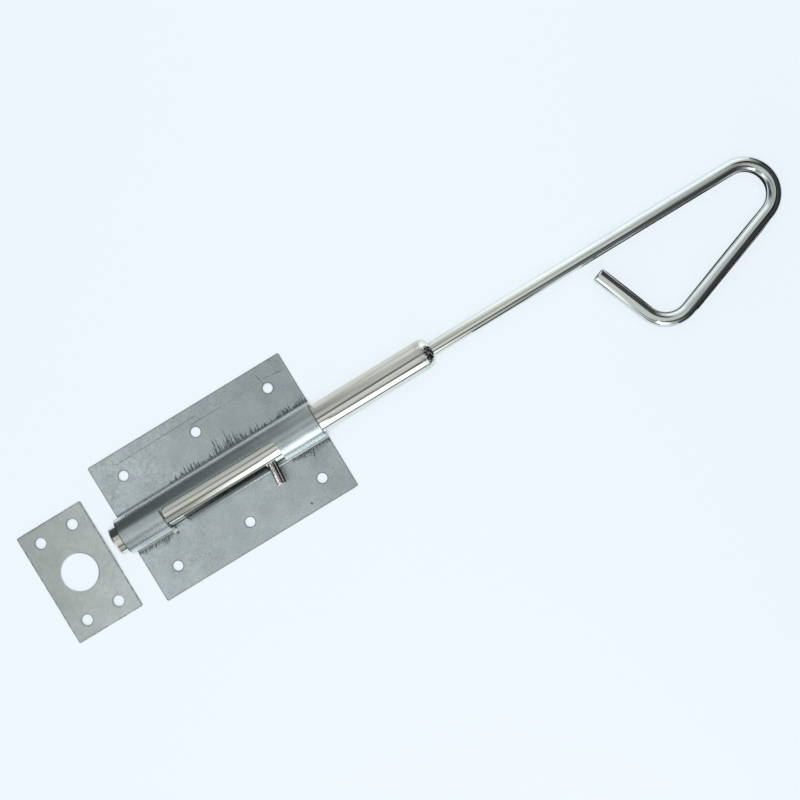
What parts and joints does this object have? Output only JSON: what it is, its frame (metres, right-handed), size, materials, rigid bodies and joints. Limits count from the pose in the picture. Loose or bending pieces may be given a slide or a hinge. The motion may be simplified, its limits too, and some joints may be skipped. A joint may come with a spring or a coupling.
{
  "type": "drop bolt",
  "caption": "Drop bolt for a garage door or gate: a round bar with a long triangular pull handle slides and turns in a folded, screw-on tunnel plate, with a flat keeper plate beside it.",
  "frame": {"origin": "centre of the mounting plate on its rear face, which lies on the door", "axes": "+X along the bolt towards the handle, +Y towards the flange above the window, +Z away from the door"},
  "size_m": [0.4295, 0.095, 0.0205],
  "materials": {
    "galvanised_sheet": "blue-grey galvanised sheet, finely mottled, scuffed at the bends",
    "bright_zinc": "bright zinc plate with fine drawing lines",
    "weld_metal": "plated weld, rough, dark in its hollows",
    "dark_steel": "dark drawn steel",
    "keeper_sheet": "matt grey zinc, dark at the cut edges"
  },
  "bodies": {
    "plate": {"mounting_plate": "galvanised_sheet", "keeper_plate": "keeper_sheet"},
    "slider": {"handle_weld": "weld_metal"},
    "bolt": {"bolt_bar": "bright_zinc", "handle_rod": "bright_zinc", "stop_pin": "dark_steel"}
  },
  "joints": [
    {"name": "bolt_drop", "type": "slide", "parent": "plate", "child": "slider", "axis": [-1, 0, 0], "range_m": [-0.0046, 0.0568]},
    {"name": "bolt_turn", "type": "hinge", "parent": "slider", "child": "bolt", "pos_m": [0, 0, 0.0105], "axis": [-1, 0, 0], "range_deg": [-6.5, 85]}
  ]
}
